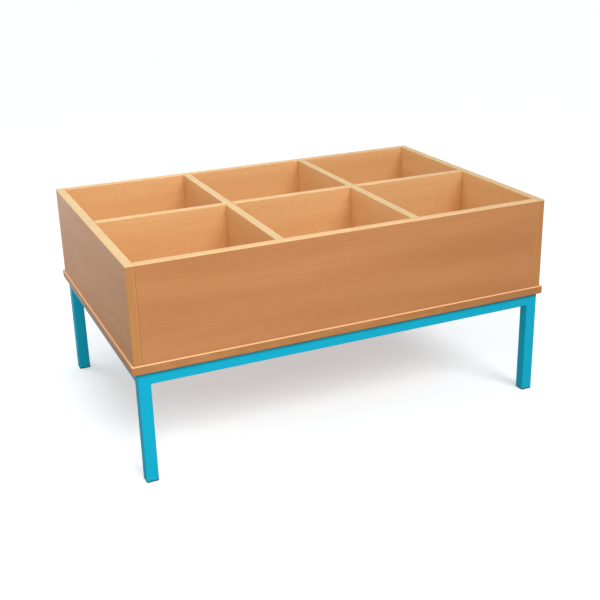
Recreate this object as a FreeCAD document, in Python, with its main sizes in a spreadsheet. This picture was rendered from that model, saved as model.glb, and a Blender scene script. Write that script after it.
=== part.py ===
"""Picture book browser bin: an open box of six compartments on a welded tube frame.

Frame: +X right along the long side, -Y front, +Z up; the origin is on the floor at the
middle of the object. Millimetres.
"""
import FreeCAD, Part
import os
import Sketcher

Vector = FreeCAD.Vector

document = FreeCAD.newDocument("BrowserBin")


# ---------------------------------------------------------------- driving sizes

DRIVING_SIZES = [
    ("carcass_length", 925, "box outside, left to right"),
    ("carcass_depth", 610, "box outside, front to back"),
    ("wall_height", 198, "base board's top to the walls' top, edging included"),
    ("wall_thickness", 18, "front, back and end panels"),
    ("divider_thickness", 18, "long divider and cross dividers"),
    ("base_thickness", 18, "base board"),
    ("base_overhang", 4, "base board beyond the walls, all round"),
    ("edging_thickness", 2, "edging strip on every cut edge that shows"),
    ("edging_radius", 1.5, "rounding of an edging strip's two arrises"),
    ("slot_clearance", 0.3, "halved joint's slot, wider than the board it takes"),
    ("slot_end_gap", 0.5, "halved joint, left between the two slot ends"),
    ("frame_height", 234, "floor to the underside of the base board"),
    ("tube_size", 25, "square tube of legs and rails"),
    ("tube_wall", 1.5, "tube's wall"),
    ("tube_corner_radius", 2.5, "tube's outer corner"),
    ("frame_inset_side", 10, "legs from the base board's left and right edges"),
    ("frame_inset_front", 4, "legs from the base board's front and back edges"),
    ("foot_head_height", 3, "foot insert's head, under the leg"),
    ("foot_sole_chamfer", 0.6, "rim of the foot's sole"),
    ("foot_core_size", 12, "square core of the foot's plug"),
    ("foot_plug_length", 18, "foot's plug, up inside the leg"),
    ("foot_fin_thickness", 1.2, "fins that grip the tube"),
    ("foot_fin_pitch", 5, "from one fin to the next"),
    ("foot_fin_start", 3, "foot's head to its first fin"),
    ("foot_fin_clearance", 0.2, "fin to the tube's inside"),
    ("housing_depth", 6, "groove in a wall for a divider's end"),
    ("housing_clearance", 0.3, "that groove, wider than the divider"),
    ("housing_end_gap", 0.3, "that groove, deeper than the divider's end"),
    ("biscuit_length", 56, "flat wooden biscuit, along the joint"),
    ("biscuit_width", 23, "across the joint"),
    ("biscuit_tip", 6, "width left at the biscuit's cut-off tips"),
    ("biscuit_thickness", 4, "biscuit"),
    ("biscuit_play", 1.5, "slot, longer at each tip so that the joint can be shifted"),
    ("biscuit_depth_gap", 0.8, "slot, deeper than the biscuit on each side of the joint"),
    ("biscuit_clearance", 0.2, "slot, thicker than the biscuit, for the glue"),
    ("corner_biscuit_margin", 52, "wall board's top and bottom to a biscuit's middle"),
    ("long_wall_biscuit_margin", 90, "long panel's end to its first biscuit's middle"),
    ("end_wall_biscuit_margin", 120, "end panel's end to its first biscuit's middle"),
    ("frame_screw_diameter", 4.5, "screw up through a rail"),
    ("frame_screw_length", 15, "that screw, without its head"),
    ("frame_screw_head_diameter", 8.5, "across its flat round head"),
    ("frame_screw_head_height", 3, "that head, from its seat to its flat top"),
    ("frame_screw_margin", 120, "long rail's end to its screw"),
    ("pilot_clearance", 0.2, "pilot hole wider than the screw"),
    ("pilot_end_gap", 0.5, "pilot hole deeper than the screw"),
    ("rail_hole_clearance", 0.5, "hole in the rail wider than its screw"),
    ("access_hole_diameter", 11, "hole in the rail's lower wall, for head and driver"),
]

sheet = document.addObject("Spreadsheet::Sheet", "Sizes")
for row, (alias, value, meaning) in enumerate(DRIVING_SIZES, start=1):
    sheet.set(f"A{row}", meaning)
    sheet.set(f"B{row}", str(value))
    sheet.setAlias(f"B{row}", alias)
document.recompute()

ROW_COMPARTMENTS = 3
LONG_WALL_BISCUITS = 3
END_WALL_BISCUITS = 2
CORNER_BISCUITS = 2
LONG_RAIL_SCREWS = 2
FOOT_FINS = 2

# Quarter turns about +Z that bring a front piece to each side of the box
SIDE_ANGLES = {"front": 0, "right": 90, "back": 180, "left": 270}


# ---------------------------------------------------------------- sizes worked out from those

INNER_LENGTH = "(Sizes.carcass_length - 2 * Sizes.wall_thickness)"
INNER_DEPTH = "(Sizes.carcass_depth - 2 * Sizes.wall_thickness)"
BOARD_HEIGHT = "(Sizes.wall_height - Sizes.edging_thickness)"
CROSS_DIVIDER_SPACE = f"({ROW_COMPARTMENTS - 1} * Sizes.divider_thickness)"
COMPARTMENT_LENGTH = f"(({INNER_LENGTH} - {CROSS_DIVIDER_SPACE}) / {ROW_COMPARTMENTS})"
CROSS_X = f"(({COMPARTMENT_LENGTH} + Sizes.divider_thickness) / 2)"
OUTER_COMPARTMENT_X = f"({COMPARTMENT_LENGTH} + Sizes.divider_thickness)"
END_WALL_X = "((Sizes.carcass_length - Sizes.wall_thickness) / 2)"
LONG_WALL_Y = "((Sizes.carcass_depth - Sizes.wall_thickness) / 2)"

BASE_LENGTH = "(Sizes.carcass_length + 2 * Sizes.base_overhang)"
BASE_DEPTH = "(Sizes.carcass_depth + 2 * Sizes.base_overhang)"
BASE_BOARD_LENGTH = f"({BASE_LENGTH} - 2 * Sizes.edging_thickness)"
BASE_BOARD_DEPTH = f"({BASE_DEPTH} - 2 * Sizes.edging_thickness)"
BASE_TOP = "(Sizes.frame_height + Sizes.base_thickness)"
BOARD_TOP = f"({BASE_TOP} + {BOARD_HEIGHT})"

LEG_X = f"({BASE_LENGTH} / 2 - Sizes.frame_inset_side - Sizes.tube_size / 2)"
LEG_Y = f"({BASE_DEPTH} / 2 - Sizes.frame_inset_front - Sizes.tube_size / 2)"
LONG_RAIL_LENGTH = f"(2 * {LEG_X} - Sizes.tube_size)"
SIDE_RAIL_LENGTH = f"(2 * {LEG_Y} - Sizes.tube_size)"
RAIL_BOTTOM = "(Sizes.frame_height - Sizes.tube_size)"


def spread(first, last, count):
    """Expressions of count places, evenly spread from first to last."""
    step = f"({last} - {first}) / {count - 1}"
    return [f"({first} + {index} * {step})" for index in range(count)]


def both_ways(size):
    """The expressions of a distance to the minus side and to the plus side."""
    return [f"-{size}", size]


LONG_WALL_REACH = f"({INNER_LENGTH} / 2 - Sizes.long_wall_biscuit_margin)"
END_WALL_REACH = "(Sizes.carcass_depth / 2 - Sizes.end_wall_biscuit_margin)"
LONG_WALL_PLACES = spread(f"(-{LONG_WALL_REACH})", LONG_WALL_REACH, LONG_WALL_BISCUITS)
END_WALL_PLACES = spread(f"(-{END_WALL_REACH})", END_WALL_REACH, END_WALL_BISCUITS)
CORNER_HEIGHTS = spread(
    f"({BASE_TOP} + Sizes.corner_biscuit_margin)",
    f"({BOARD_TOP} - Sizes.corner_biscuit_margin)", CORNER_BISCUITS)

LONG_RAIL_REACH = f"({LONG_RAIL_LENGTH} / 2 - Sizes.frame_screw_margin)"
LONG_RAIL_PLACES = spread(f"(-{LONG_RAIL_REACH})", LONG_RAIL_REACH, LONG_RAIL_SCREWS)
FRAME_SCREW_POINTS = [(x, y) for y in both_ways(LEG_Y) for x in LONG_RAIL_PLACES]


# ---------------------------------------------------------------- how pieces are drawn

AS_DRAWN = FreeCAD.Rotation()
LEFT_TO_RIGHT = AS_DRAWN
FRONT_TO_BACK = FreeCAD.Rotation(Vector(0, 0, 1), 90)
# A length drawn along X stands up, and its drawn +Z side turns to the front
UPRIGHT = FreeCAD.Rotation(Vector(0, 0, 1), Vector(-1, 0, 0), Vector(0, -1, 0), "XZY")
# A length drawn along X stands up, and what is flat across Y stays so
STANDING_LEFT_TO_RIGHT = FreeCAD.Rotation(Vector(0, 1, 0), -90)
# A length drawn along X stays so, and its drawn +Z side turns to the front
EDGE_ON = FreeCAD.Rotation(Vector(1, 0, 0), Vector(0, 0, 1), Vector(0, -1, 0), "XZY")


def turned(angle, rotation=AS_DRAWN):
    """A rotation followed by a turn about +Z."""
    return FreeCAD.Rotation(Vector(0, 0, 1), angle).multiply(rotation)


def new_body(name):
    """An empty body whose label is the sub-part's name."""
    body = document.addObject("PartDesign::Body", name)
    body.Label = name
    return body


def place(item, x, y, z, rotation=AS_DRAWN):
    """Turns an object and ties its place to three expressions."""
    item.Placement = FreeCAD.Placement(Vector(), rotation)
    item.setExpression("Placement.Base.x", x)
    item.setExpression("Placement.Base.y", y)
    item.setExpression("Placement.Base.z", z)


def origin_feature(body, role):
    """The plane or axis of the body's own origin with this role."""
    return next(item for item in body.Origin.OriginFeatures if item.Role == role)


def new_sketch(body, name, role, offset="0"):
    """A sketch on one of the body's origin planes, moved along the plane's normal."""
    sketch = body.newObject("Sketcher::SketchObject", f"{body.Label}_{name}_sketch")
    sketch.AttachmentSupport = (origin_feature(body, role), [""])
    sketch.MapMode = "FlatFace"
    sketch.setExpression("AttachmentOffset.Base.z", offset)
    return sketch


def tie(sketch, name, expression, *constraint):
    """Adds a sized constraint under a name and ties it to an expression."""
    index = sketch.addConstraint(Sketcher.Constraint(*constraint))
    sketch.renameConstraint(index, name)
    sketch.setExpression(f"Constraints.{name}", expression)


def draw_polygon(sketch, corners):
    """A closed outline through corners, each given as two expressions."""
    count = len(corners)
    # Any places do to start with, as long as no three are in line
    start = [Vector(index, index * index, 0) for index in range(count)]
    sides = [
        sketch.addGeometry(Part.LineSegment(start[index], start[(index + 1) % count]), False)
        for index in range(count)
    ]
    for index, (x, y) in enumerate(corners):
        side = sides[index]
        sketch.addConstraint(Sketcher.Constraint("Coincident", sides[index - 1], 2, side, 1))
        tie(sketch, f"corner_{index}_x", x, "DistanceX", -1, 1, side, 1, start[index].x)
        tie(sketch, f"corner_{index}_y", y, "DistanceY", -1, 1, side, 1, start[index].y)


def draw_rectangle(sketch, left, bottom, width, height):
    """A rectangle from its lower left corner and its two sizes."""
    right = f"{left} + {width}"
    top = f"{bottom} + {height}"
    draw_polygon(sketch, [(left, bottom), (right, bottom), (right, top), (left, top)])


def draw_circles(sketch, centres, diameter):
    """Circles of one diameter, each centre given as two expressions."""
    first = None
    for index, (x, y) in enumerate(centres):
        start = Vector(index + 1, index + 1, 0)
        circle = sketch.addGeometry(Part.Circle(start, Vector(0, 0, 1), 1), False)
        tie(sketch, f"centre_{index}_x", x, "DistanceX", -1, 1, circle, 3, start.x)
        tie(sketch, f"centre_{index}_y", y, "DistanceY", -1, 1, circle, 3, start.y)
        if first is None:
            first = circle
            tie(sketch, "diameter", diameter, "Diameter", circle, 2)
        else:
            sketch.addConstraint(Sketcher.Constraint("Equal", first, circle))


def pad(body, sketch, length, centred=False):
    """Adds a sketch's area as a solid, along the sketch's normal or both ways from it."""
    feature = body.newObject("PartDesign::Pad", f"{sketch.Label}_pad")
    feature.Profile = sketch
    feature.Midplane = centred
    feature.setExpression("Length", length)
    document.recompute()
    return feature


def cut(body, sketch, length, along_normal=False, centred=False):
    """Takes a sketch's area out of the body and makes sure that this removed something."""
    volume_before = body.Shape.Volume
    feature = body.newObject("PartDesign::Pocket", f"{sketch.Label}_pocket")
    feature.Profile = sketch
    feature.Reversed = along_normal
    feature.Midplane = centred
    feature.setExpression("Length", length)
    document.recompute()
    if body.Shape.Volume >= volume_before:
        raise RuntimeError(f"{feature.Label} cuts nothing")
    return feature


def round_edges(body, name, is_wanted, radius):
    """Rounds the edges of the body's last feature that is_wanted picks."""
    base = body.Tip
    feature = body.newObject("PartDesign::Fillet", f"{body.Label}_{name}")
    feature.Base = (base, edge_names(base.Shape, is_wanted))
    feature.setExpression("Radius", radius)
    document.recompute()


def chamfer_edges(body, name, is_wanted, size):
    """Chamfers the edges of the body's last feature that is_wanted picks."""
    base = body.Tip
    feature = body.newObject("PartDesign::Chamfer", f"{body.Label}_{name}")
    feature.Base = (base, edge_names(base.Shape, is_wanted))
    feature.setExpression("Size", size)
    document.recompute()


def edge_names(shape, is_wanted):
    """The names of the edges of a shape that is_wanted picks, of which there must be some."""
    names = [
        f"Edge{number}"
        for number, edge in enumerate(shape.Edges, start=1)
        if is_wanted(edge)
    ]
    if not names:
        raise RuntimeError("no edge fits the description")
    return names


def runs_along(edge, direction):
    """Whether an edge is straight and parallel to a direction."""
    if edge.Curve.TypeId != "Part::GeomLine":
        return False
    return edge.Curve.Direction.cross(direction).Length < Part.Precision.confusion()


# ---------------------------------------------------------------- base board

def make_base_board(slots):
    """The base board, flat, with the walls' biscuit slots and the frame screws' pilots."""
    blank = new_body("base_board_blank")
    outline = new_sketch(blank, "outline", "XY_Plane")
    draw_rectangle(outline, f"-{BASE_BOARD_LENGTH} / 2", f"-{BASE_BOARD_DEPTH} / 2",
                   BASE_BOARD_LENGTH, BASE_BOARD_DEPTH)
    pad(blank, outline, "Sizes.base_thickness")
    pilots = new_sketch(blank, "pilot_holes", "XY_Plane")
    draw_circles(pilots, FRAME_SCREW_POINTS, "Sizes.frame_screw_diameter + Sizes.pilot_clearance")
    cut(blank, pilots, "Sizes.frame_screw_length - Sizes.tube_wall + Sizes.pilot_end_gap",
        along_normal=True)
    place(blank, "0", "0", "Sizes.frame_height")
    return cut_biscuit_slots("base_board", blank, slots)


# ---------------------------------------------------------------- edging strips

def make_edging(name, length, width, x, y, z, rotation):
    """An edging strip drawn along X, its outer face up and that face's two arrises round."""
    body = new_body(name)
    section = new_sketch(body, "section", "YZ_Plane")
    draw_rectangle(section, f"-{width} / 2", "0", width, "Sizes.edging_thickness")
    pad(body, section, length, centred=True)
    thickness = sheet.edging_thickness

    def is_outer_arris(edge):
        return runs_along(edge, Vector(1, 0, 0)) and edge.BoundBox.ZMin > thickness / 2

    round_edges(body, "arrises", is_outer_arris, "Sizes.edging_radius")
    place(body, x, y, z, rotation)
    return body


def make_base_edgings():
    """Front and back strips run the full length, and the side strips fit between them."""
    middle = "Sizes.frame_height + Sizes.base_thickness / 2"
    seat_x = f"{BASE_BOARD_LENGTH} / 2"
    seat_y = f"{BASE_BOARD_DEPTH} / 2"
    runs = {
        "front": (BASE_LENGTH, "0", f"-{seat_y}"),
        "back": (BASE_LENGTH, "0", seat_y),
        "left": (BASE_BOARD_DEPTH, f"-{seat_x}", "0"),
        "right": (BASE_BOARD_DEPTH, seat_x, "0"),
    }
    return [
        make_edging(f"base_edging_{side}", length, "Sizes.base_thickness", x, y, middle,
                    turned(SIDE_ANGLES[side], EDGE_ON))
        for side, (length, x, y) in runs.items()
    ]


def make_wall_edgings():
    """Strips on the walls' top edges and on the end panels' front and back edges."""
    edgings = []
    for side, y in (("front", f"-{LONG_WALL_Y}"), ("back", LONG_WALL_Y)):
        edgings.append(make_edging(
            f"{side}_panel_edging", INNER_LENGTH, "Sizes.wall_thickness",
            "0", y, BOARD_TOP, LEFT_TO_RIGHT))
    seat_y = "(Sizes.carcass_depth / 2 - Sizes.edging_thickness)"
    for side, x in (("left", f"-{END_WALL_X}"), ("right", END_WALL_X)):
        edgings.append(make_edging(
            f"{side}_end_top_edging", "Sizes.carcass_depth", "Sizes.wall_thickness",
            x, "0", BOARD_TOP, FRONT_TO_BACK))
        for face, y in (("front", f"-{seat_y}"), ("back", seat_y)):
            edgings.append(make_edging(
                f"{side}_end_{face}_edging", BOARD_HEIGHT, "Sizes.wall_thickness",
                x, y, f"{BASE_TOP} + {BOARD_HEIGHT} / 2", turned(SIDE_ANGLES[face], UPRIGHT)))
    return edgings


def make_divider_edgings():
    """One strip on each cross divider, and three on the long divider between the crossings."""
    edgings = []
    for side, x in (("left", f"-{CROSS_X}"), ("right", CROSS_X)):
        edgings.append(make_edging(
            f"cross_divider_{side}_edging", INNER_DEPTH, "Sizes.divider_thickness",
            x, "0", BOARD_TOP, FRONT_TO_BACK))
    middles = (f"-{OUTER_COMPARTMENT_X}", "0", OUTER_COMPARTMENT_X)
    stretches = zip(("left", "middle", "right"), middles)
    for stretch, x in stretches:
        edgings.append(make_edging(
            f"long_divider_edging_{stretch}", COMPARTMENT_LENGTH, "Sizes.divider_thickness",
            x, "0", BOARD_TOP, LEFT_TO_RIGHT))
    return edgings


# ---------------------------------------------------------------- walls and dividers

def make_board(name, length, thickness):
    """A standing board, its length along X and its lower edge at zero, centred on its origin."""
    body = new_body(name)
    outline = new_sketch(body, "outline", "XZ_Plane")
    draw_rectangle(outline, f"-{length} / 2", "0", length, BOARD_HEIGHT)
    pad(body, outline, thickness, centred=True)
    return body


def cut_housings(body, places):
    """Grooves up the inner face of a wall, which is drawn on its +Y side, for divider ends."""
    width = "(Sizes.divider_thickness + Sizes.housing_clearance)"
    for index, x in enumerate(places):
        groove = new_sketch(body, f"housing_{index}", "XZ_Plane", "-Sizes.wall_thickness / 2")
        draw_rectangle(groove, f"{x} - {width} / 2", "0", width, BOARD_HEIGHT)
        cut(body, groove, "Sizes.housing_depth", along_normal=True)


def cut_slots(body, places, bottom, top):
    """Slots of the halved joints, right through a divider's thickness."""
    width = "(Sizes.divider_thickness + Sizes.slot_clearance)"
    for index, x in enumerate(places):
        slot = new_sketch(body, f"slot_{index}", "XZ_Plane")
        draw_rectangle(slot, f"{x} - {width} / 2", bottom, width, f"{top} - {bottom}")
        cut(body, slot, width, centred=True)


def make_long_panel(side, y, slots):
    """Front or back panel: fits between the end panels and houses the cross dividers' ends."""
    blank = make_board(f"{side}_panel_blank", INNER_LENGTH, "Sizes.wall_thickness")
    cut_housings(blank, both_ways(CROSS_X))
    place(blank, "0", y, BASE_TOP, turned(SIDE_ANGLES[side]))
    return cut_biscuit_slots(f"{side}_panel", blank, slots)


def make_end_panel(side, x, slots):
    """End panel: runs the full depth and houses the long divider's end."""
    length = "(Sizes.carcass_depth - 2 * Sizes.edging_thickness)"
    blank = make_board(f"{side}_end_panel_blank", length, "Sizes.wall_thickness")
    cut_housings(blank, ["0"])
    place(blank, x, "0", BASE_TOP, turned(SIDE_ANGLES[side]))
    return cut_biscuit_slots(f"{side}_end_panel", blank, slots)


def housed_length(inner_size):
    """A divider's length, with both ends in their housings."""
    return f"({inner_size} + 2 * (Sizes.housing_depth - Sizes.housing_end_gap))"


def make_long_divider():
    """Divider from end to end, slotted from its top for the two cross dividers."""
    body = make_board("long_divider", housed_length(INNER_LENGTH), "Sizes.divider_thickness")
    slot_floor = f"({BOARD_HEIGHT} / 2 - Sizes.slot_end_gap / 2)"
    cut_slots(body, both_ways(CROSS_X), slot_floor, BOARD_HEIGHT)
    place(body, "0", "0", BASE_TOP)
    return body


def make_cross_divider(side, x):
    """Divider from front to back, slotted from below so that it drops over the long one."""
    body = make_board(f"cross_divider_{side}", housed_length(INNER_DEPTH),
                      "Sizes.divider_thickness")
    slot_ceiling = f"({BOARD_HEIGHT} / 2 + Sizes.slot_end_gap / 2)"
    cut_slots(body, ["0"], "0", slot_ceiling)
    place(body, x, "0", BASE_TOP, FRONT_TO_BACK)
    return body


# ---------------------------------------------------------------- tube frame

def make_tube(name, length):
    """Square tube drawn along X, its underside at zero: rounded, then hollowed from its ends."""
    body = new_body(name)
    section = new_sketch(body, "section", "YZ_Plane")
    draw_rectangle(section, "-Sizes.tube_size / 2", "0", "Sizes.tube_size", "Sizes.tube_size")
    pad(body, section, length, centred=True)
    round_edges(body, "corners", lambda edge: runs_along(edge, Vector(1, 0, 0)),
                "Sizes.tube_corner_radius")
    rounded = body.Tip
    ends = [
        f"Face{number}"
        for number, face in enumerate(rounded.Shape.Faces, start=1)
        if face.BoundBox.XLength < Part.Precision.confusion()
    ]
    hollow = body.newObject("PartDesign::Thickness", f"{name}_hollow")
    hollow.Base = (rounded, ends)
    hollow.Reversed = True
    hollow.setExpression("Value", "Sizes.tube_wall")
    document.recompute()
    return body


def make_leg(name, x, y):
    """Leg from the foot's head to the base board; its axis is moved to the drawn zero height."""
    length = "(Sizes.frame_height - Sizes.foot_head_height)"
    body = make_tube(name, length)
    middle = f"Sizes.foot_head_height + {length} / 2"
    place(body, x, f"{y} + Sizes.tube_size / 2", middle, UPRIGHT)
    return body


def make_long_rail(side, y):
    """Front or back rail, drilled for two screws, with wider access holes underneath."""
    body = make_tube(f"rail_{side}", LONG_RAIL_LENGTH)
    centres = [(x, "0") for x in LONG_RAIL_PLACES]
    holes = new_sketch(body, "screw_holes", "XY_Plane")
    draw_circles(holes, centres, "Sizes.frame_screw_diameter + Sizes.rail_hole_clearance")
    cut(body, holes, "Sizes.tube_size", along_normal=True)
    access = new_sketch(body, "access_holes", "XY_Plane")
    draw_circles(access, centres, "Sizes.access_hole_diameter")
    cut(body, access, "Sizes.tube_size / 2", along_normal=True)
    place(body, "0", y, RAIL_BOTTOM)
    return body


def make_side_rail(side, x):
    """Left or right rail, plain tube between the front and back legs."""
    body = make_tube(f"rail_{side}", SIDE_RAIL_LENGTH)
    place(body, x, "0", RAIL_BOTTOM, FRONT_TO_BACK)
    return body


def make_foot(name, x, y):
    """Plastic insert: a head that the leg stands on and a finned plug inside the tube."""
    body = new_body(name)
    half = "Sizes.tube_size / 2"
    head = new_sketch(body, "head", "XY_Plane")
    draw_rectangle(head, f"-{half}", f"-{half}", "Sizes.tube_size", "Sizes.tube_size")
    pad(body, head, "Sizes.foot_head_height")
    round_edges(body, "head_corners", lambda edge: runs_along(edge, Vector(0, 0, 1)),
                "Sizes.tube_corner_radius")
    chamfer_edges(body, "sole_rim",
                  lambda edge: edge.BoundBox.ZMax < Part.Precision.confusion(),
                  "Sizes.foot_sole_chamfer")
    core = new_sketch(body, "core", "XY_Plane", "Sizes.foot_head_height")
    draw_rectangle(core, "-Sizes.foot_core_size / 2", "-Sizes.foot_core_size / 2",
                   "Sizes.foot_core_size", "Sizes.foot_core_size")
    pad(body, core, "Sizes.foot_plug_length")

    # The tube's inside corner is round, and the fin's square corner stays inside its arc
    corner_room = "max(0; Sizes.tube_corner_radius - Sizes.tube_wall) * (1 - sqrt(0.5))"
    fin_reach = f"({half} - Sizes.tube_wall - {corner_room} - Sizes.foot_fin_clearance)"
    fin = new_sketch(body, "fin", "XY_Plane", "Sizes.foot_head_height + Sizes.foot_fin_start")
    draw_rectangle(fin, f"-{fin_reach}", f"-{fin_reach}", f"2 * {fin_reach}", f"2 * {fin_reach}")
    fin_pad = pad(body, fin, "Sizes.foot_fin_thickness")
    fins = body.newObject("PartDesign::LinearPattern", f"{name}_fins")
    fins.Originals = [fin_pad]
    fins.Direction = (origin_feature(body, "Z_Axis"), [""])
    fins.Occurrences = FOOT_FINS
    fins.setExpression("Length", f"{FOOT_FINS - 1} * Sizes.foot_fin_pitch")
    body.Tip = fins
    document.recompute()
    place(body, x, y, "0")
    return body


# ---------------------------------------------------------------- fasteners

def make_biscuit(name, length, width, tip, thickness):
    """A biscuit, or the cutter of its slot: two arcs and two cut-off tips, flat across Y."""
    body = new_body(name)
    outline = new_sketch(body, "outline", "XZ_Plane")
    reach = sheet.biscuit_length / 2
    rise = sheet.biscuit_width / 2
    tip_rise = sheet.biscuit_tip / 2
    ends = [Vector(reach, -tip_rise, 0), Vector(reach, tip_rise, 0),
            Vector(-reach, tip_rise, 0), Vector(-reach, -tip_rise, 0)]
    sides = [
        outline.addGeometry(Part.LineSegment(ends[0], ends[1]), False),
        outline.addGeometry(Part.Arc(ends[1], Vector(0, rise, 0), ends[2]), False),
        outline.addGeometry(Part.LineSegment(ends[2], ends[3]), False),
        outline.addGeometry(Part.Arc(ends[3], Vector(0, -rise, 0), ends[0]), False),
    ]
    signs = [(1, -1), (1, 1), (-1, 1), (-1, -1)]
    for index, (sign_x, sign_y) in enumerate(signs):
        side = sides[index]
        before = sides[index - 1]
        outline.addConstraint(Sketcher.Constraint("Coincident", before, 2, side, 1))
        tie(outline, f"end_{index}_x", f"{sign_x} * {length} / 2",
            "DistanceX", -1, 1, side, 1, ends[index].x)
        tie(outline, f"end_{index}_y", f"{sign_y} * {tip} / 2",
            "DistanceY", -1, 1, side, 1, ends[index].y)
    sagitta = f"(({width} - {tip}) / 2)"
    start_sagitta = rise - tip_rise
    start_radius = (start_sagitta ** 2 + reach ** 2) / (2 * start_sagitta)
    tie(outline, "arc", f"({sagitta} ^ 2 + ({length} / 2) ^ 2) / (2 * {sagitta})",
        "Radius", sides[1], start_radius)
    outline.addConstraint(Sketcher.Constraint("Equal", sides[1], sides[3]))
    pad(body, outline, thickness, centred=True)
    return body


def make_frame_screw():
    """Screw with a flat round head, drawn upwards, its head's seat at zero."""
    body = new_body("frame_screw_pattern")
    head = "(Sizes.frame_screw_head_diameter / 2)"
    shank = "(Sizes.frame_screw_diameter / 2)"
    profile = new_sketch(body, "profile", "XZ_Plane")
    draw_polygon(profile, [
        ("0", "-Sizes.frame_screw_head_height"),
        (head, "-Sizes.frame_screw_head_height"),
        (head, "0"),
        (shank, "0"),
        (shank, "Sizes.frame_screw_length"),
        ("0", "Sizes.frame_screw_length"),
    ])
    turned_profile = body.newObject("PartDesign::Revolution", "frame_screw_turned")
    turned_profile.Profile = profile
    turned_profile.ReferenceAxis = (profile, ["V_Axis"])
    turned_profile.Angle = 360
    document.recompute()
    return body


def make_set(name, pattern, places):
    """Like fasteners as one sub-part: a link to the pattern at each place."""
    links = []
    for index, (x, y, z, rotation) in enumerate(places):
        link = document.addObject("App::Link", f"{name}_{index}")
        link.LinkedObject = pattern
        place(link, x, y, z, rotation)
        links.append(link)
    group = document.addObject("Part::Compound", name)
    group.Label = name
    group.Links = links
    document.recompute()
    return group


def cut_biscuit_slots(name, blank, slots):
    """The sub-part that is left of a blank once sets of slot cutters are taken out of it."""
    volume_before = blank.Shape.Volume
    part = document.addObject("Part::Cut", name)
    part.Label = name
    part.Base = blank
    part.Tool = slots
    document.recompute()
    if part.Shape.Volume >= volume_before:
        raise RuntimeError(f"{name} has no slots")
    return part


# ---------------------------------------------------------------- assembly

biscuit = make_biscuit(
    "biscuit_pattern", "Sizes.biscuit_length", "Sizes.biscuit_width", "Sizes.biscuit_tip",
    "Sizes.biscuit_thickness")
slot_cutter = make_biscuit(
    "slot_cutter_pattern", "(Sizes.biscuit_length + 2 * Sizes.biscuit_play)",
    "(Sizes.biscuit_width + 2 * Sizes.biscuit_depth_gap)",
    "(Sizes.biscuit_tip + 2 * Sizes.biscuit_depth_gap)",
    "Sizes.biscuit_thickness + Sizes.biscuit_clearance")

CORNER_PLACES = [
    (f"{sign}{INNER_LENGTH} / 2", y, z, STANDING_LEFT_TO_RIGHT)
    for sign in ("-", "") for y in both_ways(LONG_WALL_Y) for z in CORNER_HEIGHTS
]
BASE_PLACES = [
    (x, y, BASE_TOP, LEFT_TO_RIGHT) for y in both_ways(LONG_WALL_Y) for x in LONG_WALL_PLACES
]
BASE_PLACES += [
    (x, y, BASE_TOP, FRONT_TO_BACK) for x in both_ways(END_WALL_X) for y in END_WALL_PLACES
]
base_slots = make_set("base_slots", slot_cutter, BASE_PLACES)
wall_slots = make_set("wall_slots", slot_cutter, CORNER_PLACES + BASE_PLACES)

sub_parts = []
for side, x, y in (("front_left", f"-{LEG_X}", f"-{LEG_Y}"), ("front_right", LEG_X, f"-{LEG_Y}"),
                   ("back_left", f"-{LEG_X}", LEG_Y), ("back_right", LEG_X, LEG_Y)):
    sub_parts.append(make_foot(f"foot_{side}", x, y))
    sub_parts.append(make_leg(f"leg_{side}", x, y))
sub_parts.append(make_long_rail("front", f"-{LEG_Y}"))
sub_parts.append(make_long_rail("back", LEG_Y))
sub_parts.append(make_side_rail("left", f"-{LEG_X}"))
sub_parts.append(make_side_rail("right", LEG_X))
sub_parts.append(make_base_board(base_slots))
sub_parts += make_base_edgings()
sub_parts.append(make_long_panel("front", f"-{LONG_WALL_Y}", wall_slots))
sub_parts.append(make_long_panel("back", LONG_WALL_Y, wall_slots))
sub_parts.append(make_end_panel("left", f"-{END_WALL_X}", wall_slots))
sub_parts.append(make_end_panel("right", END_WALL_X, wall_slots))
sub_parts += make_wall_edgings()
sub_parts.append(make_long_divider())
sub_parts.append(make_cross_divider("left", f"-{CROSS_X}"))
sub_parts.append(make_cross_divider("right", CROSS_X))
sub_parts += make_divider_edgings()
sub_parts.append(make_set("corner_biscuits", biscuit, CORNER_PLACES))
sub_parts.append(make_set("base_biscuits", biscuit, BASE_PLACES))
sub_parts.append(make_set("frame_screws", make_frame_screw(), [
    (x, y, "Sizes.frame_height - Sizes.tube_wall", AS_DRAWN) for x, y in FRAME_SCREW_POINTS]))

document.recompute()
for item in document.Objects:
    if "Invalid" in item.State or "Error" in item.State:
        raise RuntimeError(f"{item.Label} is {item.State}")
for item in sub_parts:
    if item.Shape.isNull() or not item.Shape.isValid():
        raise RuntimeError(f"{item.Label} has no valid shape")

os.makedirs("parts", exist_ok=True)
for item in sub_parts:
    item.Shape.exportStep(f"parts/{item.Label}.step")
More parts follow.
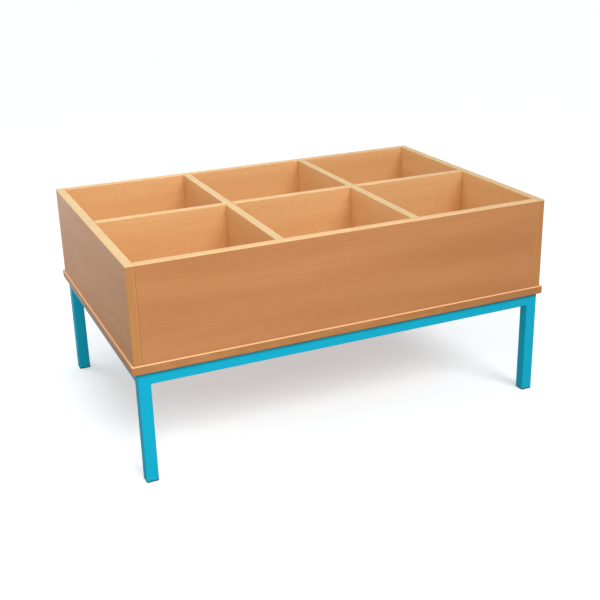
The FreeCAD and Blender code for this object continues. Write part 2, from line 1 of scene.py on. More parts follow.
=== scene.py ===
import bpy
import numpy as np
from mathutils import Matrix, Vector


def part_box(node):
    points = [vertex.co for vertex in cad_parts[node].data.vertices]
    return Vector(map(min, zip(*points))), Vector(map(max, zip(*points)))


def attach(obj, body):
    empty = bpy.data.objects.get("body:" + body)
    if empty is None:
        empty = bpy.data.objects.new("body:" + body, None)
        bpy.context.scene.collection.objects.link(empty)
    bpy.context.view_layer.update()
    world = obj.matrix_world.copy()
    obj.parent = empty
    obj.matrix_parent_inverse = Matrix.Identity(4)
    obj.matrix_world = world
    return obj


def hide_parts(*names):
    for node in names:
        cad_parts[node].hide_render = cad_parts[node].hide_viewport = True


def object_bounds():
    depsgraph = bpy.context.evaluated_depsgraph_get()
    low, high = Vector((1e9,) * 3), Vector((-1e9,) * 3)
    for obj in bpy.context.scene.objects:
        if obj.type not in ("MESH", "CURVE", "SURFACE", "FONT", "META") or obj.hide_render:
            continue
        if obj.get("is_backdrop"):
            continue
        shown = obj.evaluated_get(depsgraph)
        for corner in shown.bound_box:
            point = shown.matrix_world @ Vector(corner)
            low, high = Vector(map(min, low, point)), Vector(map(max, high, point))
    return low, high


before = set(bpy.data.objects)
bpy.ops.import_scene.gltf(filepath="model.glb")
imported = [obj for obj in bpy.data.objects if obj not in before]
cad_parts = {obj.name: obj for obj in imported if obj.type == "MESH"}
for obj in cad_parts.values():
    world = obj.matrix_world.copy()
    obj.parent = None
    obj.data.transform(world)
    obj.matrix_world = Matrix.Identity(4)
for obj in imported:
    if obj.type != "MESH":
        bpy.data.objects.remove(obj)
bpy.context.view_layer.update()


# ---------------------------------------------------------------- legs and rails
# Square steel tube, cut to length and welded into one frame: four legs with a rail between
# each pair, level with the legs' tops and outer faces. The whole frame is powder coated in
# one cyan colour after welding, so the coat runs over tube and weld alike.

# Sizes are in metres and colours in linear light. PER_METRE is how many features of a
# pattern fit into a metre, and LEVELS are the noise values that it fades in between.
MM = 0.001
CORNERS = {
    "front_left": (-1, -1),
    "front_right": (1, -1),
    "back_left": (-1, 1),
    "back_right": (1, 1),
}
COAT_COLOUR = (0.0, 0.330, 0.476)
COAT_THICK_COLOUR = (0.0, 0.305, 0.449)
COAT_CLOUDS_PER_METRE = 9
COAT_ROUGHNESS = (0.34, 0.44)
COAT_IOR = 1.22
PEEL_PER_METRE = 420
PEEL_HEIGHT = 0.04 * MM
DUST_PER_METRE = 2600
DUST_LEVELS = (0.78, 0.86)
DUST_HEIGHT = 0.01 * MM
SCUFF_COLOUR = (0.030, 0.300, 0.420)
SCUFF_TOP = 45 * MM
SCUFFS_PER_METRE = (60, 60, 220)
SCUFF_LEVELS = (0.56, 0.68)
SCUFF_ROUGHNESS = 0.25
# The colour, reach and depth of the painted shade on the frame's top, under the base board.
OVERHANG_SHADE_COLOUR = (0.004, 0.085, 0.100)
OVERHANG_SHADE_REACH = 11 * MM
OVERHANG_SHADE_AMOUNT = (0.75, 1.0)
NOISE_SPREAD = (0.2, 0.8)
RAIL_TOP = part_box("rail_front")[1].z


def new_finish(name):
    """An empty material and its surface shader, and the object's own coordinates in metres."""
    finish = bpy.data.materials.new(name)
    finish.use_nodes = True
    nodes = finish.node_tree.nodes
    nodes.clear()
    surface = nodes.new("ShaderNodeBsdfPrincipled")
    output = nodes.new("ShaderNodeOutputMaterial")
    finish.node_tree.links.new(surface.outputs["BSDF"], output.inputs["Surface"])
    place = nodes.new("ShaderNodeTexCoord").outputs["Object"]
    return finish, surface, place


def feed(finish, node, sockets):
    """Sets each named or numbered socket to a value, or joins it to the output that feeds it."""
    for socket, value in sockets.items():
        if isinstance(value, bpy.types.NodeSocket):
            finish.node_tree.links.new(value, node.inputs[socket])
        else:
            node.inputs[socket].default_value = value


def step(finish, kind, sockets, **settings):
    """One more node in a finish, with its settings and its sockets."""
    node = finish.node_tree.nodes.new(kind)
    for setting, value in settings.items():
        setattr(node, setting, value)
    feed(finish, node, sockets)
    return node


def worked_out(finish, operation, *values, **settings):
    """One or two values put through a plain operation, such as MULTIPLY or ABSOLUTE."""
    return step(finish, "ShaderNodeMath", dict(enumerate(values)), operation=operation,
                **settings).outputs["Value"]


def product(finish, first, second):
    """Two values multiplied."""
    return worked_out(finish, "MULTIPLY", first, second)


def sum_of(finish, first, second):
    """Two values added, and stopped at 1."""
    return worked_out(finish, "ADD", first, second, use_clamp=True)


def axes_of(finish, place):
    """The X, Y and Z of a place, by name."""
    return step(finish, "ShaderNodeSeparateXYZ", {"Vector": place}).outputs


def grain_noise(finish, place, per_metre, detail=2.0, roughness=0.5):
    """Noise with as many features per metre along each axis as per_metre says, from 0 to 1."""
    stretched = step(finish, "ShaderNodeMapping", {"Vector": place, "Scale": per_metre})
    return step(finish, "ShaderNodeTexNoise", {
        "Vector": stretched.outputs["Vector"], "Scale": 1.0, "Detail": detail,
        "Roughness": roughness}).outputs["Fac"]


def even_noise(finish, place, per_metre, detail=2.0):
    """Noise with the same number of features per metre along every axis, from 0 to 1."""
    return grain_noise(finish, place, (per_metre,) * 3, detail=detail)


def remap(finish, value, low, high, to_low=0.0, to_high=1.0):
    """Carries value from the range low to high over to another range, and stops at its ends."""
    return step(finish, "ShaderNodeMapRange", {
        "Value": value, "From Min": low, "From Max": high, "To Min": to_low, "To Max": to_high,
    }, interpolation_type="SMOOTHSTEP").outputs["Result"]


def tint(finish, amount, first, second):
    """The first colour where amount is 0 and the second where it is 1."""
    colours = [value if isinstance(value, bpy.types.NodeSocket) else (*value, 1.0)
               for value in (first, second)]
    return step(finish, "ShaderNodeMix", {0: amount, 6: colours[0], 7: colours[1]},
                data_type="RGBA").outputs[2]


def raised(finish, height, distance, normal=None):
    """The surface's normal as a height from 0 to 1 turns it, distance being the full height."""
    sockets = {"Height": height, "Distance": distance, "Strength": 1.0}
    if normal is not None:
        sockets["Normal"] = normal
    return step(finish, "ShaderNodeBump", sockets).outputs["Normal"]


def powder_coat():
    """Satin powder coat: orange peel, specks of dust baked in, and scuffs low on the legs.

    Painted shade darkens the tops of the rails and legs under the base board's overhang.
    """
    finish, surface, place = new_finish("powder_coat")
    peel = even_noise(finish, place, PEEL_PER_METRE, detail=1.0)
    dust = even_noise(finish, place, DUST_PER_METRE, detail=0.0)
    clouds = even_noise(finish, place, COAT_CLOUDS_PER_METRE, detail=3.0)
    coat = tint(finish, clouds, COAT_COLOUR, COAT_THICK_COLOUR)
    height = axes_of(finish, place)["Z"]
    low_down = remap(finish, height, 0.0, SCUFF_TOP, 1.0, 0.0)
    rubs = grain_noise(finish, place, SCUFFS_PER_METRE, detail=4.0)
    scuffs = product(finish, low_down, remap(finish, rubs, *SCUFF_LEVELS))
    coat = tint(finish, scuffs, coat, SCUFF_COLOUR)
    # Painted shade: the frame's top darkens over its last few millimetres under the base board.
    overhang_shade = remap(finish, height, RAIL_TOP - OVERHANG_SHADE_REACH, RAIL_TOP)
    overhang_shade = product(finish, overhang_shade, remap(finish, clouds, *NOISE_SPREAD, *OVERHANG_SHADE_AMOUNT))
    rough = remap(finish, peel, *NOISE_SPREAD, *COAT_ROUGHNESS)
    feed(finish, surface, {
        "Base Color": tint(finish, overhang_shade, coat, OVERHANG_SHADE_COLOUR),
        "Roughness": sum_of(finish, rough, product(finish, scuffs, SCUFF_ROUGHNESS)),
        "IOR": COAT_IOR,
        "Normal": raised(finish, remap(finish, dust, *DUST_LEVELS), DUST_HEIGHT,
                         raised(finish, peel, PEEL_HEIGHT)),
    })
    return finish


def finish_node(name, finish):
    """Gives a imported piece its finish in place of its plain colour."""
    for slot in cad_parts[name].material_slots:
        slot.material = finish


COAT = powder_coat()
for corner in CORNERS:
    finish_node(f"leg_{corner}", COAT)
for side in ("front", "back", "left", "right"):
    finish_node(f"rail_{side}", COAT)


# ---------------------------------------------------------------- welds
# Welds in the corners where two rails meet a leg: a rippled bead under each rail and one up
# the inside corner. On the outer faces the round of the leg's corner is filled with weld
# and ground level, so that rail and leg read as one face.

TUBE_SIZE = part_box("leg_front_left")[1].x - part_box("leg_front_left")[0].x
TUBE_CORNER = 2.5 * MM
BEAD_LEG = 1.7 * MM
BEAD_FULLNESS = 0.55
BEAD_RIPPLE = 0.05
BEAD_RIPPLE_PITCH = 1.5 * MM
BEAD_LAG = 2.2
BEAD_ROOT = 0.4 * MM
BEAD_INSET = 0.4 * TUBE_CORNER
GROUND_OVER_LEG = 3.1 * MM
GROUND_OVER_RAIL = 0.8 * MM
GROUND_CROWN = 0.10 * MM
GROUND_ROOT = 1.6 * MM
BEAD_STEPS = 72
BEAD_ARC_STEPS = 12
WELD_SMOOTH_ANGLE = 60


def close_rings(rings):
    """Vertices and faces over closed rings of points, an array ring by point by axis.

    Each ring is joined to the next by four-sided faces. The first and the last ring have
    shrunk to one point each, which closes the skin with a fan of triangles.
    """
    count, around = rings.shape[:2]
    inner = rings[1:-1].reshape(-1, 3)
    points = np.vstack([rings[0, :1], inner, rings[-1, :1]])
    here = 1 + np.arange(around)
    beside = 1 + (np.arange(around) + 1) % around
    starts = np.arange(count - 3)[:, None] * around
    quads = np.stack([starts + here, starts + beside, starts + beside + around,
                      starts + here + around], axis=-1).reshape(-1, 4)
    last = (count - 3) * around
    first_fan = np.stack([np.zeros(around, int), beside, here], axis=-1)
    last_fan = np.stack([np.full(around, len(points) - 1), last + here, last + beside], axis=-1)
    return points, quads, np.vstack([first_fan, last_fan])


def add_shell(shells, rings):
    """Adds a closed skin to a piece's shells, turned so that its faces point outwards.

    The volume under the skin is the sum over its triangles of a . (b x c) / 6, and is
    negative where the faces point inwards.
    """
    points, quads, fans = close_rings(rings)
    triangles = np.vstack([quads[:, [0, 1, 2]], quads[:, [0, 2, 3]], fans])
    a, b, c = (points[triangles[:, corner]] for corner in range(3))
    if np.einsum("ij,ij->i", a, np.cross(b, c)).sum() < 0:
        quads, fans = quads[:, ::-1], fans[:, ::-1]
    shells.append((points, quads, fans))


def build_piece(name, shells, finish, smooth_angle):
    """One piece from its shells, at the origin, shaded smooth up to an angle in degrees."""
    points, faces, start = [], [], 0
    for shell_points, quads, fans in shells:
        points.append(shell_points)
        faces += (quads + start).tolist() + (fans + start).tolist()
        start += len(shell_points)
    mesh = bpy.data.meshes.new(name)
    mesh.from_pydata(np.vstack(points).tolist(), [], faces)
    mesh.materials.append(finish)
    mesh.shade_smooth()
    mesh.set_sharp_from_angle(angle=np.radians(smooth_angle))
    piece = bpy.data.objects.new(name, mesh)
    bpy.context.scene.collection.objects.link(piece)
    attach(piece, "root")
    return piece


def end_taper(along, length, cap):
    """How full a bead is along its run: a quarter circle over cap at each end, 1 between."""
    to_end = np.minimum(along, length - along) / cap
    return np.sqrt(np.clip(1 - (1 - np.clip(to_end, 0, 1)) ** 2, 0, 1))


def corner_bead(start, stop, first_face, second_face):
    """Rings of a fillet weld along the inside corner from start to stop.

    first_face and second_face point away from the corner along the two faces. At angle t
    between them the bead reaches a mix of a flat fillet, leg / (cos t + sin t), and a round
    one, leg, times 1 plus a ripple that lags towards the bead's middle, as a weld pool does.
    """
    length = np.linalg.norm(stop - start)
    along = np.linspace(0, length, BEAD_STEPS)[:, None]
    angle = np.linspace(0, np.pi / 2, BEAD_ARC_STEPS)[None, :]
    flat = 1 / (np.cos(angle) + np.sin(angle))
    lag = BEAD_LAG * np.sin(2 * angle)
    ripple = 1 + BEAD_RIPPLE * np.sin(2 * np.pi * along / BEAD_RIPPLE_PITCH - lag)
    reach = BEAD_LEG * (flat * (1 - BEAD_FULLNESS) + BEAD_FULLNESS) * ripple
    reach = (reach * end_taper(along, length, BEAD_LEG))[..., None]
    line = start + along[..., None] * (stop - start) / length
    round_side = (line + reach * (np.cos(angle)[..., None] * first_face
                                  + np.sin(angle)[..., None] * second_face))
    root = line - BEAD_ROOT * (first_face + second_face)
    root = np.where(reach[:, :1] > 0, root, line)
    return np.concatenate([round_side, root], axis=1)


def ground_fill(start, stop, to_rail, outwards):
    """Rings of a ground weld over the round of a leg's corner, along its run.

    Across the weld, from the leg's flat to the rail's flat, it stands proud by a crown
    times sin(pi t), and its root lies inside the corner.
    """
    length = np.linalg.norm(stop - start)
    along = np.linspace(0, length, BEAD_STEPS)[:, None]
    across = np.linspace(0, 1, BEAD_ARC_STEPS)[None, :]
    taper = end_taper(along, length, BEAD_LEG)
    side = (-GROUND_OVER_LEG + (GROUND_OVER_LEG + GROUND_OVER_RAIL) * across) * taper
    crown = GROUND_CROWN * np.sin(np.pi * across) * taper
    line = start + along[..., None] * (stop - start) / length
    face = line + side[..., None] * to_rail + crown[..., None] * outwards
    root = line - GROUND_ROOT * taper[..., None] * outwards
    return np.concatenate([face, root], axis=1)


def weld_leg(corner, sign_x, sign_y):
    """All welds at one leg: its inner corner is turned to the middle of the bin."""
    low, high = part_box(f"leg_{corner}")
    inner_x = high.x if sign_x < 0 else low.x
    inner_y = high.y if sign_y < 0 else low.y
    outer_x = inner_x + sign_x * TUBE_SIZE
    outer_y = inner_y + sign_y * TUBE_SIZE
    rail_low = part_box("rail_front")[0].z
    to_middle_x = np.array([-sign_x, 0.0, 0.0])
    to_middle_y = np.array([0.0, -sign_y, 0.0])
    up = np.array([0.0, 0.0, 1.0])
    inner_low = np.array([inner_x, inner_y, rail_low])
    shells = []
    for outer, away, inwards in (((inner_x, outer_y), to_middle_x, to_middle_y),
                                 ((outer_x, inner_y), to_middle_y, to_middle_x)):
        under_start = np.array([*outer, rail_low]) + BEAD_INSET * inwards
        under_stop = inner_low - BEAD_INSET * inwards
        add_shell(shells, corner_bead(under_start, under_stop, away, -up))
        seam_low = np.array([*outer, rail_low + TUBE_CORNER / 2])
        seam_high = np.array([*outer, RAIL_TOP])
        add_shell(shells, ground_fill(seam_low, seam_high, away, -inwards))
    inner_high = np.array([inner_x, inner_y, RAIL_TOP])
    add_shell(shells, corner_bead(inner_low, inner_high, to_middle_x, to_middle_y))
    build_piece(f"welds_{corner}", shells, COAT, WELD_SMOOTH_ANGLE)


for corner, (sign_x, sign_y) in CORNERS.items():
    weld_leg(corner, sign_x, sign_y)


# ---------------------------------------------------------------- feet
# Push-in inserts moulded in dark plastic: a head as wide as the tube, which the leg stands
# on, with a shallow hollow in its sole, and a plug whose thin fins bend as it is driven
# into the tube and then grip it.

FOOT_COLOUR = (0.020, 0.023, 0.026)
FOOT_WORN_COLOUR = (0.055, 0.058, 0.060)
FOOT_ROUGHNESS = (0.45, 0.62)
SPARKS_PER_METRE = 3200
SPARK_LEVELS = (0.3, 0.7)
SPARK_HEIGHT = 0.012 * MM
WEAR_PER_METRE = 300
WEAR_LEVELS = (0.4, 0.6)
WEAR_TOP = 0.6 * MM
FOOT_HEAD_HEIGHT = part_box("leg_front_left")[0].z
FOOT_HEAD_EASE = 0.2 * MM
SOLE_HOLLOW = 7.5 * MM
SOLE_HOLLOW_DEPTH = 0.4 * MM
SOLE_HOLLOW_CORNER = 1.5 * MM
SOLE_HOLLOW_RIM_CORNER = 1.6 * MM
SOLE_RIM = 0.7 * MM
SOLE_RIM_RISE = 0.2 * MM
PLUG_CORE = 6.0 * MM
PLUG_CORE_CORNER = 0.8 * MM
PLUG_CHAMFER = 1.0 * MM
FIN_REACH = 10.5 * MM
FIN_BEND = 0.5 * MM
FIN_ROOT_THICKNESS = 1.2 * MM
FIN_TIP_THICKNESS = 0.5 * MM
FIN_HEIGHTS = (6 * MM, 11 * MM)
CORNER_POINTS = 9
FOOT_SMOOTH_ANGLE = 35


def foot_plastic():
    """Moulded plastic with a spark-eroded texture, rubbed paler on the sole."""
    finish, surface, place = new_finish("foot_plastic")
    sparks = even_noise(finish, place, SPARKS_PER_METRE)
    wear = remap(finish, even_noise(finish, place, WEAR_PER_METRE, detail=4.0), *WEAR_LEVELS)
    worn = product(finish, remap(finish, axes_of(finish, place)["Z"], 0.0, WEAR_TOP, 1.0, 0.0),
                   wear)
    feed(finish, surface, {
        "Base Color": tint(finish, worn, FOOT_COLOUR, FOOT_WORN_COLOUR),
        "Roughness": remap(finish, sparks, *SPARK_LEVELS, *FOOT_ROUGHNESS),
        "Normal": raised(finish, sparks, SPARK_HEIGHT),
    })
    return finish


def square_rings(profile, centre):
    """Rings of rounded squares: profile lists half width, corner radius and height.

    A ring's point is the corner's centre, half width less radius out along both axes, plus
    the radius times (cos t, sin t), with t running through a quarter turn at each corner.
    """
    half, corner, height = np.array(profile).T[:, :, None]
    quarter = np.linspace(0, np.pi / 2, CORNER_POINTS)
    turn = np.concatenate([quarter + k * np.pi / 2 for k in range(4)])[None, :]
    middle = np.repeat([np.pi / 4 + k * np.pi / 2 for k in range(4)], CORNER_POINTS)[None, :]
    out = half - corner
    x = centre[0] + out * np.sign(np.cos(middle)) + corner * np.cos(turn)
    y = centre[1] + out * np.sign(np.sin(middle)) + corner * np.sin(turn)
    return np.stack([x, y, np.broadcast_to(height, x.shape)], axis=-1)


def foot_profile(half, top):
    """Half width, corner radius and height from the sole's middle round to the plug's end."""
    profile = [
        (0, 0, SOLE_HOLLOW_DEPTH),
        (SOLE_HOLLOW, SOLE_HOLLOW_CORNER, SOLE_HOLLOW_DEPTH),
        (SOLE_HOLLOW + SOLE_HOLLOW_DEPTH, SOLE_HOLLOW_RIM_CORNER, 0),
        (half - SOLE_RIM, TUBE_CORNER - SOLE_RIM, 0),
        (half - SOLE_RIM / 4, TUBE_CORNER, SOLE_RIM_RISE),
        (half, TUBE_CORNER, SOLE_RIM),
        (half, TUBE_CORNER, FOOT_HEAD_HEIGHT - FOOT_HEAD_EASE),
        (half - FOOT_HEAD_EASE, TUBE_CORNER - FOOT_HEAD_EASE / 2, FOOT_HEAD_HEIGHT),
        (PLUG_CORE, PLUG_CORE_CORNER, FOOT_HEAD_HEIGHT),
    ]
    for fin in FIN_HEIGHTS:
        tip = fin - FIN_BEND
        profile += [
            (PLUG_CORE, PLUG_CORE_CORNER, fin),
            (FIN_REACH, PLUG_CORE_CORNER, tip),
            (FIN_REACH, PLUG_CORE_CORNER, tip + FIN_TIP_THICKNESS),
            (PLUG_CORE, PLUG_CORE_CORNER, fin + FIN_ROOT_THICKNESS),
        ]
    profile += [
        (PLUG_CORE, PLUG_CORE_CORNER, top - PLUG_CHAMFER),
        (PLUG_CORE - PLUG_CHAMFER, PLUG_CORE_CORNER, top),
        (0, 0, top),
    ]
    return profile


FOOT_PLASTIC = foot_plastic()
for corner in CORNERS:
    low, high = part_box(f"foot_{corner}")
    shells = []
    add_shell(shells, square_rings(foot_profile((high.x - low.x) / 2, high.z), (low + high) / 2))
    foot = build_piece(f"foot_insert_{corner}", shells, FOOT_PLASTIC, FOOT_SMOOTH_ANGLE)
    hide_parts(f"foot_{corner}")


# ---------------------------------------------------------------- base board and its edging
# An 18 mm board faced with beech laminate on both sides. Its four sawn edges are covered
# with beech strips 2 mm thick, glued on hot and rounded along both arrises, and it stands
# 4 mm proud of the walls all round.

# The y colours, for the end panels and cross dividers, are the same board's colour made a little
# less red to match their look in the light: painted light.
BOARD_COLOURS = {
    "x": ((0.448, 0.195, 0.066), (0.366, 0.141, 0.040)),
    "y": ((0.432, 0.203, 0.070), (0.353, 0.148, 0.044)),
}
# Paler colours for the faces in the compartments: painted light in the compartments.
INSIDE_PAINTED_LIGHT_COLOURS = ((0.815, 0.496, 0.222), (0.715, 0.395, 0.160))
BASE_STRIP_COLOURS = ((0.425, 0.190, 0.057), (0.315, 0.119, 0.028))
FLECK_COLOUR = (0.300, 0.100, 0.030)
PAINTED_HIGHLIGHT_COLOUR = (0.860, 0.500, 0.260)
LACQUER_ROUGHNESS = (0.45, 0.55)
LACQUER_IOR = 1.45
BANDS_PER_METRE = (1.6, 16, 16)
STREAKS_PER_METRE = (7, 210, 210)
STREAK_LEVELS = (0.35, 0.75)
STREAK_DEPTH = 0.45
HAIRS_PER_METRE = (30, 1300, 1300)
HAIR_LEVELS = (0.4, 0.8)
HAIR_DEPTH = 0.22
HAIR_HEIGHT = 0.015 * MM
FLECKS_PER_METRE = (260, 1500, 1500)
FLECK_LEVELS = (0.62, 0.72)
BOARD_FLECKS = 0.22
STRIP_FLECKS = 0.3
PORE_HEIGHT = -0.02 * MM
HILLS_PER_METRE = (0.9, 7, 7)
ARCHES_PER_HILL = 150.0
ARCH_LEVELS = (-0.2, 1.0)
BOARD_ARCHES = 0.10
PATCHES_PER_METRE = (26, 45, 45)
PATCH_LEVELS = (0.40, 0.60)
BASE_STRIP_PATCHES = 0.6
# How far the grain is turned from the X axis, for each axis that it can run along.
GRAIN_TURN = {
    "x": (0.0, 0.0, 0.0),
    "y": (0.0, 0.0, -np.pi / 2),
    "z": (0.0, np.pi / 2, 0.0),
}
# The base is painted pale at its top, a painted highlight: over the strips' upper arris, and on
# the very face of the board, which shows as a thin line round the walls.
BASE_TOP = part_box("base_board")[1].z
STRIP_PAINTED_HIGHLIGHT = 2.0 * MM
BOARD_PAINTED_HIGHLIGHT = (0.3 * MM, 0.2 * MM)
WALL_MARGIN = 0.1 * MM
ARRIS = 0.2 * MM
ARRIS_STEPS = 2
ARRIS_ANGLE = 40
JOIN_DISTANCE = 0.001 * MM


def within_walls(finish, place):
    """1 on the faces between the walls' inner faces and above the base board, 0 elsewhere."""
    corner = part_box("front_panel")[1]
    axes = axes_of(finish, place)
    across = worked_out(finish, "ABSOLUTE", axes["X"])
    deep = worked_out(finish, "ABSOLUTE", axes["Y"])
    inside = 1.0
    for value, limit, test in ((across, corner.x + WALL_MARGIN, "LESS_THAN"),
                               (deep, -corner.y + WALL_MARGIN, "LESS_THAN"),
                               (axes["Z"], BASE_TOP - WALL_MARGIN, "GREATER_THAN")):
        inside = product(finish, inside, worked_out(finish, test, value, limit))
    return inside


def beech(name, along, colours, flecked, arched=0.0, patchy=0.0, painted_highlight=None, inside=False,
          rough=LACQUER_ROUGHNESS):
    """Lacquered beech in a light and a dark colour, with its grain along one axis.

    Broad bands, narrow streaks, hairlines and short flecks are noise drawn out along the
    grain. The arches of a flat-sawn face are the level lines of one very long noise. With
    patchy, darker patches a few centimetres long lie along the grain of a strip. With
    inside, the faces in the compartments are painted paler: painted light in the compartments.
    A painted highlight is given as an axis, two distances from the middle plane and a depth
    from 0 to 1: the wood is painted paler from the first distance to the second, and as pale beyond
    it.
    """
    finish, surface, place = new_finish(name)
    light, dark = colours
    turned = step(finish, "ShaderNodeMapping", {"Vector": place, "Rotation": GRAIN_TURN[along]},
                  vector_type="TEXTURE").outputs["Vector"]
    bands = grain_noise(finish, turned, BANDS_PER_METRE, detail=3.0)
    streaks = grain_noise(finish, turned, STREAKS_PER_METRE, detail=4.0, roughness=0.6)
    hairs = grain_noise(finish, turned, HAIRS_PER_METRE)
    flecks = grain_noise(finish, turned, FLECKS_PER_METRE, detail=0.0)
    flecks = remap(finish, flecks, *FLECK_LEVELS)
    hills = grain_noise(finish, turned, HILLS_PER_METRE, detail=1.0)
    arches = worked_out(finish, "SINE", product(finish, hills, ARCHES_PER_HILL))
    arches = remap(finish, arches, *ARCH_LEVELS)
    patches = remap(finish, grain_noise(finish, turned, PATCHES_PER_METRE), *PATCH_LEVELS)
    # Painted light: the faces in the compartments get the paler colours.
    if inside:
        within = within_walls(finish, place)
        light, dark = (tint(finish, within, outer, inner)
                       for outer, inner in zip(colours, INSIDE_PAINTED_LIGHT_COLOURS))
    wood = tint(finish, remap(finish, bands, *NOISE_SPREAD), light, dark)
    for amount, depth, colour in ((patches, patchy, dark),
                                  (remap(finish, streaks, *STREAK_LEVELS), STREAK_DEPTH, dark),
                                  (arches, arched, dark),
                                  (remap(finish, hairs, *HAIR_LEVELS), HAIR_DEPTH, light),
                                  (flecks, flecked, FLECK_COLOUR)):
        wood = tint(finish, product(finish, amount, depth), wood, colour)
    # A painted highlight: the wood is painted paler beyond a distance from the middle plane.
    if painted_highlight is not None:
        axis, starts, ends, depth = painted_highlight
        out = worked_out(finish, "ABSOLUTE", axes_of(finish, place)[axis])
        painted_pale = remap(finish, out, starts, ends, 0.0, depth)
        if inside:
            painted_pale = product(finish, painted_pale, worked_out(finish, "SUBTRACT", 1.0, within))
        wood = tint(finish, painted_pale, wood, PAINTED_HIGHLIGHT_COLOUR)
    feed(finish, surface, {
        "Base Color": wood,
        "Roughness": remap(finish, streaks, *NOISE_SPREAD, *rough),
        "IOR": LACQUER_IOR,
        "Normal": raised(finish, hairs, HAIR_HEIGHT, raised(finish, flecks, PORE_HEIGHT)),
    })
    return finish


def ease_edges(name):
    """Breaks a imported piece's sharp edges by the width of a pass with fine sandpaper."""
    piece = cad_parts[name]
    weld = piece.modifiers.new("join_faces", "WELD")
    weld.merge_threshold = JOIN_DISTANCE
    ease = piece.modifiers.new("ease_edges", "BEVEL")
    ease.width = ARRIS
    ease.segments = ARRIS_STEPS
    ease.limit_method = "ANGLE"
    ease.angle_limit = np.radians(ARRIS_ANGLE)
    ease.harden_normals = True


def dress_board(name, finish):
    """Gives a board or an edging strip its finish, and eases its edges."""
    finish_node(name, finish)
    ease_edges(name)


# The base board and its strips are painted pale at the top: a painted highlight.
BASE_BOARD = beech("beech_base_board", "x", BOARD_COLOURS["x"], BOARD_FLECKS, BOARD_ARCHES,
                   painted_highlight=("Z", *(BASE_TOP - depth for depth in BOARD_PAINTED_HIGHLIGHT), 1.0), inside=True)
dress_board("base_board", BASE_BOARD)
for axis, sides in (("x", ("front", "back")), ("y", ("left", "right"))):
    strip = beech(f"beech_base_{axis}", axis, BASE_STRIP_COLOURS, STRIP_FLECKS,
                  patchy=BASE_STRIP_PATCHES,
                  painted_highlight=("Z", BASE_TOP - STRIP_PAINTED_HIGHLIGHT, BASE_TOP - STRIP_PAINTED_HIGHLIGHT / 2, 1.0))
    for side in sides:
        dress_board(f"base_edging_{side}", strip)


# ---------------------------------------------------------------- frame screws
# Four zinc-plated screws with flat round heads and cross recesses. Each goes up through a
# hole in a long rail's upper wall into the base board, driven through a wider hole in the
# rail's lower wall.

ZINC_COLOUR = (0.62, 0.64, 0.66)
ZINC_BLUE = (0.50, 0.56, 0.64)
ZINC_CLOUDS_PER_METRE = 700
ZINC_LEVELS = (0.3, 0.7)
ZINC_ROUGHNESS = (0.25, 0.42)
ZINC_HEIGHT = 0.01 * MM
SCREW_HEAD_HEIGHT = 3.0 * MM
SCREW_HEAD_RADIUS = 4.25 * MM
SCREW_HEAD_DOME = 0.8 * MM
SCREW_HEAD_RINGS = 22
RECESS_REACH = 2.3 * MM
RECESS_HALF_WIDTH = 0.55 * MM
RECESS_EASE = 0.2
RECESS_DEPTH = 1.9 * MM
RECESS_POWER = 0.6
SHANK_RADIUS = 2.25 * MM
THREAD_DEPTH = 0.55 * MM
THREAD_PITCH = 1.8 * MM
THREAD_FROM_HEAD = 0.2 * MM
THREAD_FROM_TIP = 1.5 * MM
THREAD_RINGS = 130
POINT_HEIGHT = 0.3 * MM
SCREW_AROUND = 64
SCREW_SMOOTH_ANGLE = 50


def zinc_plate():
    """Zinc plating: bright metal with a faint blue cast that comes and goes."""
    finish, surface, place = new_finish("zinc_plate")
    clouds = even_noise(finish, place, ZINC_CLOUDS_PER_METRE, detail=3.0)
    feed(finish, surface, {
        "Base Color": tint(finish, clouds, ZINC_COLOUR, ZINC_BLUE),
        "Metallic": 1.0,
        "Roughness": remap(finish, clouds, *ZINC_LEVELS, *ZINC_ROUGHNESS),
        "Normal": raised(finish, clouds, ZINC_HEIGHT),
    })
    return finish


def smooth_edge(value, low, high):
    """0 below low, 1 above high, and 3 t^2 - 2 t^3 between."""
    t = np.clip((value - low) / (high - low), 0, 1)
    return t * t * (3 - 2 * t)


def screw_rings(centre, seat, tip):
    """Rings from the head's middle, round its rim and up the threaded shank to its point.

    The head is a dome with a cross sunk into it, deepest at its middle. The thread is a
    ridge whose height follows |sin| of height / pitch less the turn, so that it winds.
    """
    turn = np.linspace(0, 2 * np.pi, SCREW_AROUND, endpoint=False)[None, :]
    crown = np.linspace(0, 1, SCREW_HEAD_RINGS)[:, None] * SCREW_HEAD_RADIUS
    dome = seat - SCREW_HEAD_HEIGHT + SCREW_HEAD_DOME * (crown / SCREW_HEAD_RADIUS) ** 4
    narrow = np.minimum(np.abs(crown * np.cos(turn)), np.abs(crown * np.sin(turn)))
    arm = 1 - smooth_edge(narrow, RECESS_HALF_WIDTH * (1 - RECESS_EASE),
                          RECESS_HALF_WIDTH * (1 + RECESS_EASE))
    inside = np.clip(1 - crown / RECESS_REACH, 0, 1)
    face = dome + RECESS_DEPTH * arm * inside ** RECESS_POWER
    core = SHANK_RADIUS - THREAD_DEPTH
    under_head = np.array([[SCREW_HEAD_RADIUS, seat], [core, seat]])[:, :, None]
    climb = np.linspace(seat + THREAD_FROM_HEAD, tip - THREAD_FROM_TIP, THREAD_RINGS)[:, None]
    ridge = np.abs(np.sin(np.pi * climb / THREAD_PITCH - turn / 2)) ** 3
    thread = core + THREAD_DEPTH * ridge
    point = np.array([[SHANK_RADIUS / 3, tip - POINT_HEIGHT], [0, tip]])[:, :, None]
    flat = np.ones_like(turn)
    radius = np.concatenate([crown * flat, under_head[:, 0] * flat, thread, point[:, 0] * flat])
    height = np.concatenate([face, under_head[:, 1] * flat, climb * flat, point[:, 1] * flat])
    return np.stack([centre[0] + radius * np.cos(turn), centre[1] + radius * np.sin(turn),
                     height], axis=-1)


